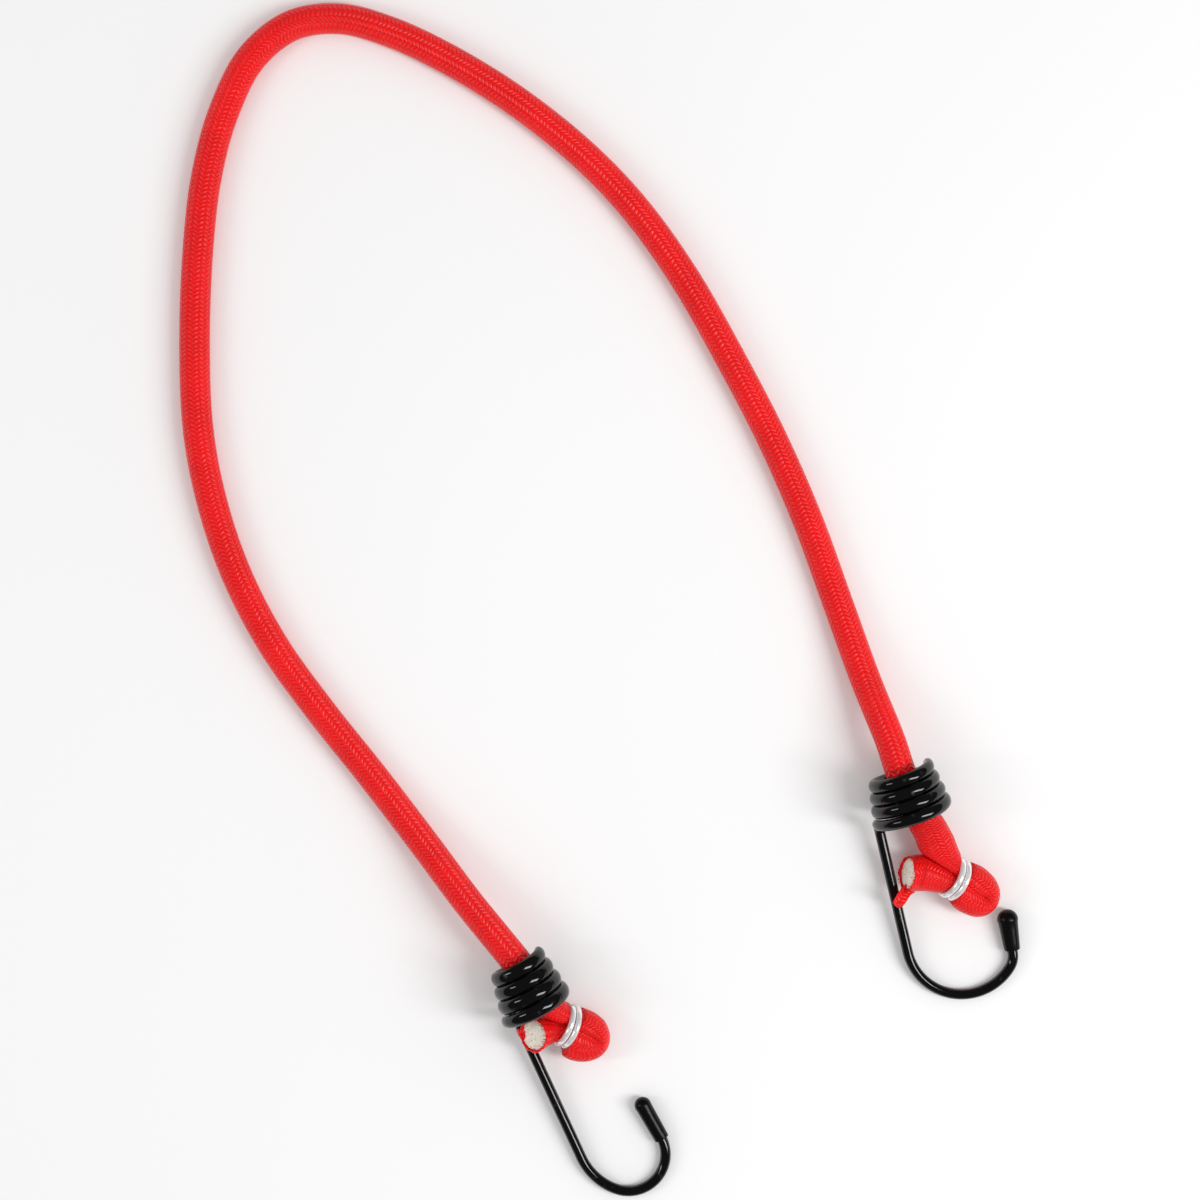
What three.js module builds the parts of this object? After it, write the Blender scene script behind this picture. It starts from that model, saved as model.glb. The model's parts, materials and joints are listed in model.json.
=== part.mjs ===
// A bungee cord lying on the floor in a loose arch: a braided sheath over a rubber core,
// with a wound wire hook at each end. Each cord end is folded back and clamped by a wire
// ring, which keeps it from slipping out through the hook's coil.
// Millimetres, +Z up, floor at z = 0. The hooks lie towards -Y, end A left of end B.
import * as THREE from 'three';

// Cord
const cordDiameter = 9;
const sheathWall = 0.9;
const coreClearance = 0.3;
const restFlatDepth = 0.9;
const seamGap = 0.3;
const cordSides = 10;
const stepsPerPoint = 2;

// Folded ends: the cord's section where the ring squeezes it, and in the fold beyond
const squeezedWidth = 4;
const squeezedHeight = 7.2;
const squeezedRun = 0.6;
const foldWidth = 7.6;
const foldHeight = 8.6;
const legGap = 0.8;
const foldStep = 30;

// Clamp rings
const ringWireDiameter = 1.8;
const ringTurns = 1.4;
const ringTurnGap = 0.45;
const ringStartAngle = 20;
const ringClearance = 0.3;

// Hook wire and its coil, which widens from the cord's side to the hook's side
const wireDiameter = 3.1;
const coilTurns = 3.5;
const neckClearance = 0.5;
const neckDropAngle = 35;
const neckRun = 1.6;
const exitBendRadius = 3.5;
const wireSides = 8;
const loopSteps = 24;

// Tip caps
const capLength = 12.3;
const capWall = 0.5;
const capEndWall = 1.4;
const capClearance = 0.3;
const capSides = 14;

// Each hook: where the middle of its coil's wide mouth lies, which way it points, and its sizes.
// Angles are in degrees. Heading turns about +Z from +X, pitch lowers the hook, and splay turns
// the shank away from the tip. The bend is two arcs, the first from the shank. The bore
// clearances are the coil's, round the cord, at its narrow end and at its wide mouth.
const hookA = {
  mouth: [-18.2, -119.5],
  heading: -66.5,
  pitch: 3.5,
  narrowClearance: 1.05,
  wideClearance: 3.7,
  turnGap: 1.05,
  exitAngle: 28,
  splay: -1,
  shank: 43.6,
  firstRadius: 18.3,
  firstAngle: 45,
  secondRadius: 10.9,
  bendAngle: 185,
  bareTip: 1,
  capHead: 5.3,
};
const hookB = {
  mouth: [91.5, -62.8],
  heading: -73.5,
  pitch: 5.6,
  narrowClearance: 2.3,
  wideClearance: 4.7,
  turnGap: 0.6,
  exitAngle: 10,
  splay: 3,
  shank: 36.6,
  firstRadius: 16.6,
  firstAngle: 135,
  secondRadius: 6.5,
  bendAngle: 176,
  bareTip: 0.9,
  capHead: 6.2,
};

// Each folded end, measured from its coil's mouth: the ring's middle along and across the coil,
// the angle from the coil to the fold, the fold's reach past the ring, and how far the fold
// leans across. Then come points of the cord before the ring and after it: along the fold,
// across it and above the ring's middle, and the cord's width there.
const foldA = {
  ringAlong: 9.3,
  ringAcross: 6.8,
  turn: 32.5,
  reach: 12.5,
  lean: -0.4,
  before: [],
  after: [[-6.2, -5.2, 1.2, 7.2], [-8.6, -7.8, 5.3, 8.6]],
};
const foldB = {
  ringAlong: 22.2,
  ringAcross: 7.8,
  turn: 42.9,
  reach: 13.4,
  lean: -0.6,
  before: [[-11.4, 6.3, 2, 9.4], [-6.4, 4.4, 0.6, 7.8]],
  after: [[-5.6, -4.2, 0, 7.4], [-9, -5, 0, 9], [-13.5, -5.6, 0.6, 9.8]],
};

// The free cord's middle line as it lies, from hook A's coil to hook B's. The third number is how
// far the cord has risen from the floor (0) to the middle of the coil (1).
const freeRoute = [
  [-38.7, -88.4, 0.7],
  [-51.5, -72, 0.25],
  [-67.1, -52, 0],
  [-82.5, -32.7, 0],
  [-96.3, -13.5, 0],
  [-107.2, 7.3, 0],
  [-114.5, 28.7, 0],
  [-118.6, 50, 0],
  [-119.7, 75, 0],
  [-118.7, 103.5, 0],
  [-116.2, 125, 0],
  [-111.3, 143.5, 0],
  [-103, 160, 0],
  [-91, 169.6, 0],
  [-77, 171.6, 0],
  [-62.7, 168, 0],
  [-45.4, 160, 0],
  [-24.6, 147.2, 0],
  [-4.4, 131, 0],
  [10.6, 115.2, 0],
  [24.9, 95.2, 0],
  [38.9, 70.6, 0],
  [51, 47.2, 0],
  [61.3, 23.6, 0],
  [69.9, 0, 0],
  [78.2, -23.6, 0.3],
  [84.8, -41, 0.85],
];
const legStart = 15;

const cordRadius = cordDiameter / 2;
const wireRadius = wireDiameter / 2;
const floorFlat = Math.acos(1 - restFlatDepth / cordRadius);
const naturalFlat = Math.PI / cordSides;
const floorHeight = cordRadius - restFlatDepth;
const { degToRad, lerp } = THREE.MathUtils;
const upwards = new THREE.Vector3(0, 0, 1);

// Cord sections: half width, half height, and half the angle of the flat underneath
const onFloor = new THREE.Vector3(cordRadius, cordRadius, floorFlat);
const round = new THREE.Vector3(cordRadius, cordRadius, naturalFlat);
const squeezed = new THREE.Vector3(squeezedWidth / 2, squeezedHeight / 2, naturalFlat);
const folded = new THREE.Vector3(foldWidth / 2, foldHeight / 2, naturalFlat);

const ringLegOffset = (squeezedWidth + legGap) / 2;
const foldRadius = (foldWidth + legGap) / 2;
const ringPitch = ringWireDiameter + ringTurnGap;
const ringLength = ringPitch * ringTurns + ringWireDiameter;
const ringRadius = squeezedReach() + ringClearance + ringWireDiameter / 2;
const ringHeight = ringRadius + ringWireDiameter / 2;

const paint = {
  sheath: { color: 0xd9202a, roughness: 0.65, metalness: 0 },
  core: { color: 0xdcd6c2, roughness: 0.8, metalness: 0 },
  wire: { color: 0x0c0c0d, roughness: 0.16, metalness: 0 },
  cap: { color: 0x151517, roughness: 0.45, metalness: 0 },
  ring: { color: 0xc8cbce, roughness: 0.25, metalness: 1 },
};

// A wire wound about the local X axis, ending at x = 0
class CoilCurve extends THREE.Curve {
  constructor(turns, pitch, startRadius, endRadius, startAngle) {
    super();
    Object.assign(this, { turns, pitch, startRadius, endRadius, startAngle });
  }

  getPoint(t, target = new THREE.Vector3()) {
    const angle = this.startAngle + 2 * Math.PI * this.turns * t;
    const radius = lerp(this.startRadius, this.endRadius, t);
    const along = (t - 1) * this.turns * this.pitch;
    return target.set(along, radius * Math.cos(angle), radius * Math.sin(angle));
  }
}

// An arc that leaves a point in one direction and ends in another
class ArcCurve extends THREE.Curve {
  constructor(start, heading, finalHeading, radius) {
    super();
    this.start = start.clone();
    this.heading = heading.clone();
    this.sweep = heading.angleTo(finalHeading);
    this.side = finalHeading.clone().addScaledVector(heading, -Math.cos(this.sweep)).normalize();
    this.radius = radius;
  }

  getPoint(t, target = new THREE.Vector3()) {
    const angle = this.sweep * t;
    target.copy(this.start);
    target.addScaledVector(this.heading, this.radius * Math.sin(angle));
    return target.addScaledVector(this.side, this.radius * (1 - Math.cos(angle)));
  }
}

// A path run from its far end
class ReversedCurve extends THREE.Curve {
  constructor(path) {
    super();
    this.path = path;
  }

  getPoint(t, target = new THREE.Vector3()) {
    return target.copy(this.path.getPoint(1 - t));
  }
}

// The farthest reach of the two squeezed legs from the ring's middle
function squeezedReach() {
  let reach = 0;
  for (let angle = 0; angle < Math.PI; angle += Math.PI / 90) {
    const across = ringLegOffset + (squeezedWidth / 2) * Math.cos(angle);
    const up = (squeezedHeight / 2) * Math.sin(angle);
    reach = Math.max(reach, Math.hypot(across, up));
  }
  return reach;
}

// A direction in the hook's own plane, turned from the shank's side towards the tip's side
function inPlane(degrees) {
  const angle = degToRad(degrees);
  return new THREE.Vector3(Math.cos(angle), Math.sin(angle), 0);
}

function makeMesh(name, geometry, finish) {
  const mesh = new THREE.Mesh(geometry, new THREE.MeshStandardMaterial(finish));
  mesh.name = name;
  return mesh;
}

// A round bar along a path, with flats facing along and across the section's axes
function barGeometry(path, diameter, steps) {
  const section = new THREE.Shape();
  for (let side = 0; side < wireSides; side += 1) {
    const angle = ((side + 0.5) / wireSides) * 2 * Math.PI;
    const x = (diameter / 2) * Math.cos(angle);
    const y = (diameter / 2) * Math.sin(angle);
    if (side === 0) section.moveTo(x, y);
    else section.lineTo(x, y);
  }
  section.closePath();
  return new THREE.ExtrudeGeometry(section, { extrudePath: path, steps });
}

// The least gap between stretches of one wire that lie more than a few diameters apart along it
function leastSelfGap(path, diameter) {
  const pointsPerDiameter = 4;
  const skippedDiameters = 3.5;
  const count = Math.ceil((path.getLength() / diameter) * pointsPerDiameter);
  const skipped = Math.ceil(skippedDiameters * pointsPerDiameter);
  const points = path.getSpacedPoints(count);
  let gap = Infinity;
  for (let i = 0; i < points.length; i += 1) {
    for (let j = i + skipped; j < points.length; j += 1) {
      gap = Math.min(gap, points[i].distanceTo(points[j]) - diameter);
    }
  }
  return gap;
}

// A hook's wire from its coil's free end to its tip
function hookPath(size) {
  const narrowRadius = cordRadius + size.narrowClearance + wireRadius;
  const wideRadius = cordRadius + size.wideClearance + wireRadius;
  const turns = coilTurns + size.exitAngle / 360;
  const coil = new CoilCurve(turns, wireDiameter + size.turnGap, narrowRadius, wideRadius, 0);
  const path = new THREE.CurvePath();
  path.add(coil);
  let place = coil.getPoint(1);
  let heading = coil.getTangent(1);
  const bend = (radius, next) => {
    const arc = new ArcCurve(place, heading, next, radius);
    path.add(arc);
    place = arc.getPoint(1);
    heading = next;
  };
  const run = (length) => {
    const end = place.clone().addScaledVector(heading, length);
    path.add(new THREE.LineCurve3(place, end));
    place = end;
  };
  bend(exitBendRadius, inPlane(-size.splay));
  run(size.shank);
  bend(size.firstRadius, inPlane(size.firstAngle - size.splay));
  bend(size.secondRadius, inPlane(size.bendAngle - size.splay));
  run(size.bareTip + capLength - capEndWall - capClearance);
  return { path, coil, tip: place, tipHeading: heading };
}

// A vinyl cap: a blind sleeve with a fuller, domed head. Its mouth is at y = 0.
function capGeometry(headDiameter) {
  const bore = wireRadius + capClearance;
  const head = headDiameter / 2;
  const profile = new THREE.Path();
  profile.moveTo(0, capLength - capEndWall);
  profile.lineTo(bore, capLength - capEndWall);
  profile.lineTo(bore, 0);
  profile.lineTo(bore + capWall, 0);
  profile.lineTo(head, capLength - head);
  profile.absarc(0, capLength - head, head, 0, Math.PI / 2, false);
  const arcPoints = 5;
  return new THREE.LatheGeometry(profile.getPoints(arcPoints), capSides);
}

// One hook with its cap. The local X axis is the coil's axis, Y points from shank to tip.
function makeHook(letter, size) {
  const { path, coil, tip, tipHeading } = hookPath(size);
  const steps = Math.round((path.getLength() / coil.getLength()) * coil.turns * loopSteps);
  const geometry = barGeometry(new ReversedCurve(path), wireDiameter, steps);
  const wire = makeMesh(`hook_${letter}`, geometry, paint.wire);
  const cap = makeMesh(`tip_cap_${letter}`, capGeometry(size.capHead), paint.cap);
  cap.position.copy(tip);
  cap.position.addScaledVector(tipHeading, capEndWall + capClearance - capLength);
  cap.quaternion.setFromUnitVectors(new THREE.Vector3(0, 1, 0), tipHeading);
  const hook = new THREE.Group();
  hook.add(wire, cap);
  hook.rotation.set(0, degToRad(size.pitch), degToRad(size.heading), 'ZYX');
  hook.position.set(...size.mouth, 0);
  hook.updateMatrixWorld(true);
  hook.position.z = -new THREE.Box3().setFromObject(hook, true).min.z;
  hook.updateMatrixWorld(true);
  console.log(`hook_${letter} least gap to itself: ${leastSelfGap(path, wireDiameter).toFixed(2)} mm`);
  return { hook, coilLength: coil.turns * coil.pitch };
}

// A clamp ring wound about its local X axis, with its middle at the origin
function makeRing(letter, fold) {
  const start = degToRad(ringStartAngle);
  const winding = new CoilCurve(ringTurns, ringPitch, ringRadius, ringRadius, start);
  const steps = Math.round(ringTurns * loopSteps);
  const geometry = barGeometry(winding, ringWireDiameter, steps);
  geometry.translate((ringTurns * ringPitch) / 2, 0, 0);
  const ring = makeMesh(`clamp_ring_${letter}`, geometry, paint.ring);
  ring.position.copy(fold.middle);
  ring.rotation.z = fold.heading;
  const gap = leastSelfGap(winding, ringWireDiameter);
  console.log(`clamp_ring_${letter} least gap to itself: ${gap.toFixed(2)} mm`);
  return ring;
}

// Where a folded end's ring lies, and the cord's points from the coil to the cut face
function foldedEnd(size, fold, made) {
  const across = degToRad(size.heading + 90);
  const along = degToRad(size.heading);
  const middle = new THREE.Vector3(...size.mouth, ringHeight);
  middle.x += fold.ringAlong * Math.cos(along) + fold.ringAcross * Math.cos(across);
  middle.y += fold.ringAlong * Math.sin(along) + fold.ringAcross * Math.sin(across);
  const heading = degToRad(size.heading + fold.turn);
  const turned = (k, n, up) => {
    return new THREE.Vector3(k, n, up).applyAxisAngle(upwards, heading).add(middle);
  };
  const points = [];
  const add = (place, section, direction) => points.push({ place, section, direction });
  const shaped = ([k, n, up, width]) => {
    add(turned(k, n, up), new THREE.Vector3(width / 2, foldHeight / 2, naturalFlat));
  };
  const facing = (degrees) => inPlane(degrees).applyAxisAngle(upwards, heading);
  const offset = size.wideClearance - neckClearance;
  const drop = degToRad(neckDropAngle);
  const neck = inPlane(0).applyQuaternion(made.hook.quaternion);
  const throughCoil = (x, share) => {
    const exit = new THREE.Vector3(0, Math.cos(drop), -Math.sin(drop));
    return made.hook.localToWorld(exit.multiplyScalar(offset * share).setX(x));
  };
  add(throughCoil(-made.coilLength, 0), round);
  add(throughCoil(0, 1), round, neck);
  add(throughCoil(neckRun, 1), round, neck);
  fold.before.forEach(shaped);
  const half = ringLength / 2 + squeezedRun;
  [-half, 0, half].forEach((k) => add(turned(k, ringLegOffset, 0), squeezed, facing(0)));
  const centre = fold.reach - foldRadius - foldWidth / 2;
  for (let angle = 90; angle >= -90; angle -= foldStep) {
    const outwards = inPlane(angle).multiplyScalar(foldRadius);
    add(turned(centre + outwards.x, fold.lean + outwards.y, 0), folded, facing(angle - 90));
  }
  [half, 0, -half].forEach((k) => add(turned(k, -ringLegOffset, 0), squeezed, facing(180)));
  fold.after.forEach(shaped);
  return { middle, heading, points };
}

// The same points from the other end
function reversed(points) {
  return points.toReversed().map((point) => ({ ...point, direction: point.direction?.clone().negate() }));
}

// The whole cord as one smooth curve. Each point has a section, and those without a direction
// of their own face from the point before to the point after.
class CordRoute {
  constructor(points) {
    this.points = points;
    this.curve = new THREE.CatmullRomCurve3(points.map((p) => p.place), false, 'centripetal');
    this.directions = points.map(({ direction }, number) => {
      const before = points[Math.max(number - 1, 0)].place;
      const after = points[Math.min(number + 1, points.length - 1)].place;
      return direction ?? after.clone().sub(before).normalize();
    });
  }

  // The cord's place, direction and section at a point's number, or between two points
  stationAt(number) {
    const [before, after] = [Math.floor(number), Math.ceil(number)];
    const share = number - before;
    const section = this.points[before].section.clone().lerp(this.points[after].section, share);
    const heading = this.directions[before].clone().lerp(this.directions[after], share).normalize();
    const place = this.curve.getPoint(number / (this.points.length - 1));
    place.z = Math.max(place.z, section.y * Math.cos(section.z));
    return { place, heading, section };
  }

  stations(from, to) {
    const found = [];
    for (let step = 0; step <= (to - from) * stepsPerPoint; step += 1) {
      found.push(this.stationAt(from + step / stepsPerPoint));
    }
    found[0].place.addScaledVector(found[0].heading, seamGap / 2);
    found.at(-1).place.addScaledVector(found.at(-1).heading, -seamGap / 2);
    return found;
  }
}

// The points round the cord at one station, drawn in by an inset
function sectionRing({ place, heading, section }, inset) {
  const left = upwards.clone().cross(heading).normalize();
  const up = heading.clone().cross(left);
  const { x: halfWidth, y: halfHeight, z: flat } = section;
  const ring = [];
  for (let side = 0; side < cordSides; side += 1) {
    const angle = -Math.PI / 2 + flat + ((2 * Math.PI - 2 * flat) * side) / (cordSides - 1);
    const point = place.clone();
    point.addScaledVector(left, (halfWidth - inset) * Math.cos(angle));
    ring.push(point.addScaledVector(up, (halfHeight - inset) * Math.sin(angle)));
  }
  return ring;
}

function geometryOf(triangles) {
  return new THREE.BufferGeometry().setFromPoints(triangles.flat());
}

// The wall between rows of rings, facing out
function wallTriangles(rings) {
  const triangles = [];
  for (let row = 0; row < rings.length - 1; row += 1) {
    for (let side = 0; side < cordSides; side += 1) {
      const next = (side + 1) % cordSides;
      const [a, b] = [rings[row][side], rings[row][next]];
      const [c, d] = [rings[row + 1][next], rings[row + 1][side]];
      triangles.push([a, b, c], [a, c, d]);
    }
  }
  return triangles;
}

const flipped = (triangles) => triangles.map(([a, b, c]) => [a, c, b]);

// The cut face between an outer and an inner ring, facing forwards
function faceTriangles(outer, inner) {
  const triangles = [];
  for (let side = 0; side < cordSides; side += 1) {
    const next = (side + 1) % cordSides;
    triangles.push([outer[side], inner[next], inner[side]]);
    triangles.push([outer[side], outer[next], inner[next]]);
  }
  return triangles;
}

function sheathGeometry(stations) {
  const outer = stations.map((station) => sectionRing(station, 0));
  const inner = stations.map((station) => sectionRing(station, sheathWall));
  return geometryOf([
    ...wallTriangles(outer),
    ...flipped(wallTriangles(inner)),
    ...flipped(faceTriangles(outer[0], inner[0])),
    ...faceTriangles(outer.at(-1), inner.at(-1)),
  ]);
}

function coreGeometry(stations) {
  const rings = stations.map((station) => sectionRing(station, sheathWall + coreClearance));
  const first = Array(cordSides).fill(stations[0].place);
  const last = Array(cordSides).fill(stations.at(-1).place);
  const closing = (ring, middle) => ring.map((p, i) => [middle[i], p, ring[(i + 1) % cordSides]]);
  return geometryOf([
    ...wallTriangles(rings),
    ...flipped(closing(rings[0], first)),
    ...closing(rings.at(-1), last),
  ]);
}

const madeA = makeHook('a', hookA);
const madeB = makeHook('b', hookB);
const endA = foldedEnd(hookA, foldA, madeA);
const endB = foldedEnd(hookB, foldB, madeB);

// The cord's points in order from the cut face at end A to the cut face at end B
const neckHeightA = endA.points[0].place.z;
const neckHeightB = endB.points[0].place.z;
const freePoints = freeRoute.map(([x, y, rise], number) => {
  const neckHeight = number < legStart ? neckHeightA : neckHeightB;
  const place = new THREE.Vector3(x, y, lerp(floorHeight, neckHeight, rise));
  return { place, section: onFloor.clone().lerp(round, Math.min(1, rise * 2)) };
});
const cord = new CordRoute([...reversed(endA.points), ...freePoints, ...endB.points]);

// The lengths that the cord is made in: one for each body that it crosses
const neckA = endA.points.length - 1;
const leg = neckA + 1 + legStart;
const neckB = neckA + 1 + freeRoute.length;
const lastPoint = cord.points.length - 1;
const lengths = [
  { name: 'end_a', from: 0, to: neckA },
  { name: 'main', from: neckA, to: leg },
  { name: 'leg_b', from: leg, to: neckB },
  { name: 'end_b', from: neckB, to: lastPoint },
];

const bungee = new THREE.Group();
bungee.add(madeA.hook, madeB.hook, makeRing('a', endA), makeRing('b', endB));
lengths.forEach(({ name, from, to }) => {
  const stations = cord.stations(from, to);
  bungee.add(makeMesh(`sheath_${name}`, sheathGeometry(stations), paint.sheath));
  bungee.add(makeMesh(`core_${name}`, coreGeometry(stations), paint.core));
});
console.log(`cord length, cut face to cut face: ${cord.curve.getLength().toFixed(0)} mm`);

export default bungee;
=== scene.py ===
"""A bungee cord lying in a loose arch on a pale floor, dressed over its CAD frame.

A braided cord runs from hook to hook. Each end passes through the wound coil of a wire hook,
is folded back on itself and is clamped by a wire ring. Lengths are millimetres and angles are
degrees unless a name says otherwise, and meshes are made in metres.
"""

import json
import logging
import math
import random
from dataclasses import dataclass
from enum import Enum

import bmesh
import bpy
import numpy as np
from mathutils import Matrix, Vector


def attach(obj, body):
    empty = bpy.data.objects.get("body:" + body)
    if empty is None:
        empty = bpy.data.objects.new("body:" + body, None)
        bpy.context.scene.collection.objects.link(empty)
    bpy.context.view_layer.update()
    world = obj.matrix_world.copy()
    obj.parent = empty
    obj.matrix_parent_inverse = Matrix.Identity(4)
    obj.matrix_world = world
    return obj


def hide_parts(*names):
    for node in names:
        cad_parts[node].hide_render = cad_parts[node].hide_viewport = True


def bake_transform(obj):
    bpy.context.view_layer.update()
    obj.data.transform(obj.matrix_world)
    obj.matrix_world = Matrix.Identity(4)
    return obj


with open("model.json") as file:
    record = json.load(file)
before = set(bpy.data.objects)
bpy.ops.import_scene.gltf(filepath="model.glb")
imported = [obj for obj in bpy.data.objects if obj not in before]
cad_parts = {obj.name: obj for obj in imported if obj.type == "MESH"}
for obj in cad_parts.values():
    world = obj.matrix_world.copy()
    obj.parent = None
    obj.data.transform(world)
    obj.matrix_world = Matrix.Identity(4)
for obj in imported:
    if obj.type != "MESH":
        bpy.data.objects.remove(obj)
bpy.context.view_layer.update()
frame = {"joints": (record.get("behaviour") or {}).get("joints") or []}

LOG = logging.getLogger("bungee")
MM = 0.001
# Vertices closer than this are welded.
MERGE_M = 1e-6
# The UV map of tubes and sheets: U is turns round the cord or wire, and V is millimetres along it.
UV_NAME = "wrap"
FLOOR_CLEARANCE = 0.02
CORD_RADIUS = 4.5
# How far the floor flattens the cord: its middle lies this much lower than its radius.
FLOOR_FLAT = 0.9
WIRE_RADIUS = 1.55
RING_WIRE_RADIUS = 0.9
RING_RADIUS = 5.82
RING_HEIGHT = RING_RADIUS + RING_WIRE_RADIUS
# The columns of a row: the outer edge, the inner edge, the half height and the row's order.
OUTER, INNER, HALF, ORDER = slice(0, 3), slice(3, 6), 6, 7
# Steps along straight and bent wire, the fewest steps of a line and of a bend, the rings of a
# wire's rounded end, and the drawn points for each chosen one on a smooth curve.
STRAIGHT_STEP = 1.5
BEND_STEP = 0.7
LEAST_STEPS = 2
LEAST_BEND_STEPS = 6
END_RINGS = 5
DRAWN_PER_ROW = 60
# Rows of threads lie this share of their pitch apart, as the cells of a honeycomb do.
HONEYCOMB_ROW = math.sqrt(0.75)
# Waves round a cut edge of braid: how many, how high in millimetres, and their shift in turns.
RAGGED_WAVES = ((3, 0.2, 0.1), (7, 0.16, 0.0), (13, 0.1, 0.32))
# A colour mix has its two colours on these inputs and its result on this output.
MIX_A, MIX_B, MIX_RESULT = 6, 7, 2


class Body(Enum):
    """The bodies that pieces move with."""

    CORD = "cord"
    END_B = "end_b"
    HOOK_A = "hook_a"
    HOOK_B = "hook_b"


class Slot(Enum):
    """The record's material slots."""

    SHEATH = "sheath"
    CORE = "core"
    HOOK_WIRE = "hook_wire"
    TIP_CAP = "tip_cap"
    CLAMP_RING = "clamp_ring"


class Kind(Enum):
    """The kinds of node that the finishes and the sky are made of."""

    PRINCIPLED = "ShaderNodeBsdfPrincipled"
    SURFACE = "ShaderNodeOutputMaterial"
    BACKGROUND = "ShaderNodeBackground"
    SKY = "ShaderNodeOutputWorld"
    LIGHT_PATH = "ShaderNodeLightPath"
    UV_MAP = "ShaderNodeUVMap"
    PLACE = "ShaderNodeTexCoord"
    SEPARATE = "ShaderNodeSeparateXYZ"
    MAPPING = "ShaderNodeMapping"
    NOISE = "ShaderNodeTexNoise"
    MATH = "ShaderNodeMath"
    RANGE = "ShaderNodeMapRange"
    MIX = "ShaderNodeMix"
    BUMP = "ShaderNodeBump"


def linear(colour: str) -> tuple[float, float, float, float]:
    """Turn an sRGB hex colour into the linear colour that shaders take.

    Args:
        colour: The colour as #RRGGBB.

    Returns:
        Red, green, blue and an alpha of 1.
    """
    shares = [int(colour[i:i + 2], 16) / 255 for i in (1, 3, 5)]
    red, green, blue = (s / 12.92 if s <= 0.04045 else ((s + 0.055) / 1.055) ** 2.4 for s in shares)
    return red, green, blue, 1.0


def add_node(
    tree: bpy.types.NodeTree,
    kind: Kind,
    inputs: dict[str | int, object] | None = None,
    **settings: object,
) -> bpy.types.Node:
    """Add a node with its settings, values and links.

    Args:
        tree: The node tree that gets the node.
        kind: The kind of node.
        inputs: For each input a value, an output, or a node, which stands for its first output.
        settings: The node's own properties.

    Returns:
        The new node.
    """
    node = tree.nodes.new(kind.value)
    for name, value in settings.items():
        setattr(node, name, value)
    for key, value in (inputs or {}).items():
        if isinstance(value, bpy.types.Node):
            value = value.outputs[0]
        if isinstance(value, bpy.types.NodeSocket):
            tree.links.new(value, node.inputs[key])
        else:
            node.inputs[key].default_value = value
    return node


@dataclass(frozen=True)
class Finish:
    """A material on a principled shader. Each kind of finish says what the sockets take."""

    name: str
    slot: Slot | None

    def sockets(self, tree: bpy.types.NodeTree) -> dict[str | int, object]:
        """Add the finish's own nodes to a tree, and give what each socket of the shader takes."""
        raise NotImplementedError

    def material(self) -> bpy.types.Material:
        """Find the finish's material, or make it on its first use.

        Returns:
            The material.
        """
        found = bpy.data.materials.get(self.name)
        if found:
            return found
        made = bpy.data.materials.new(self.name)
        made.use_nodes = True
        tree = made.node_tree
        tree.nodes.clear()
        shader = add_node(tree, Kind.PRINCIPLED, self.sockets(tree))
        add_node(tree, Kind.SURFACE, {"Surface": shader})
        return made

    def dress(self, piece: bpy.types.Object) -> None:
        """Give the finish to a piece."""
        piece.data.materials.append(self.material())


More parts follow.
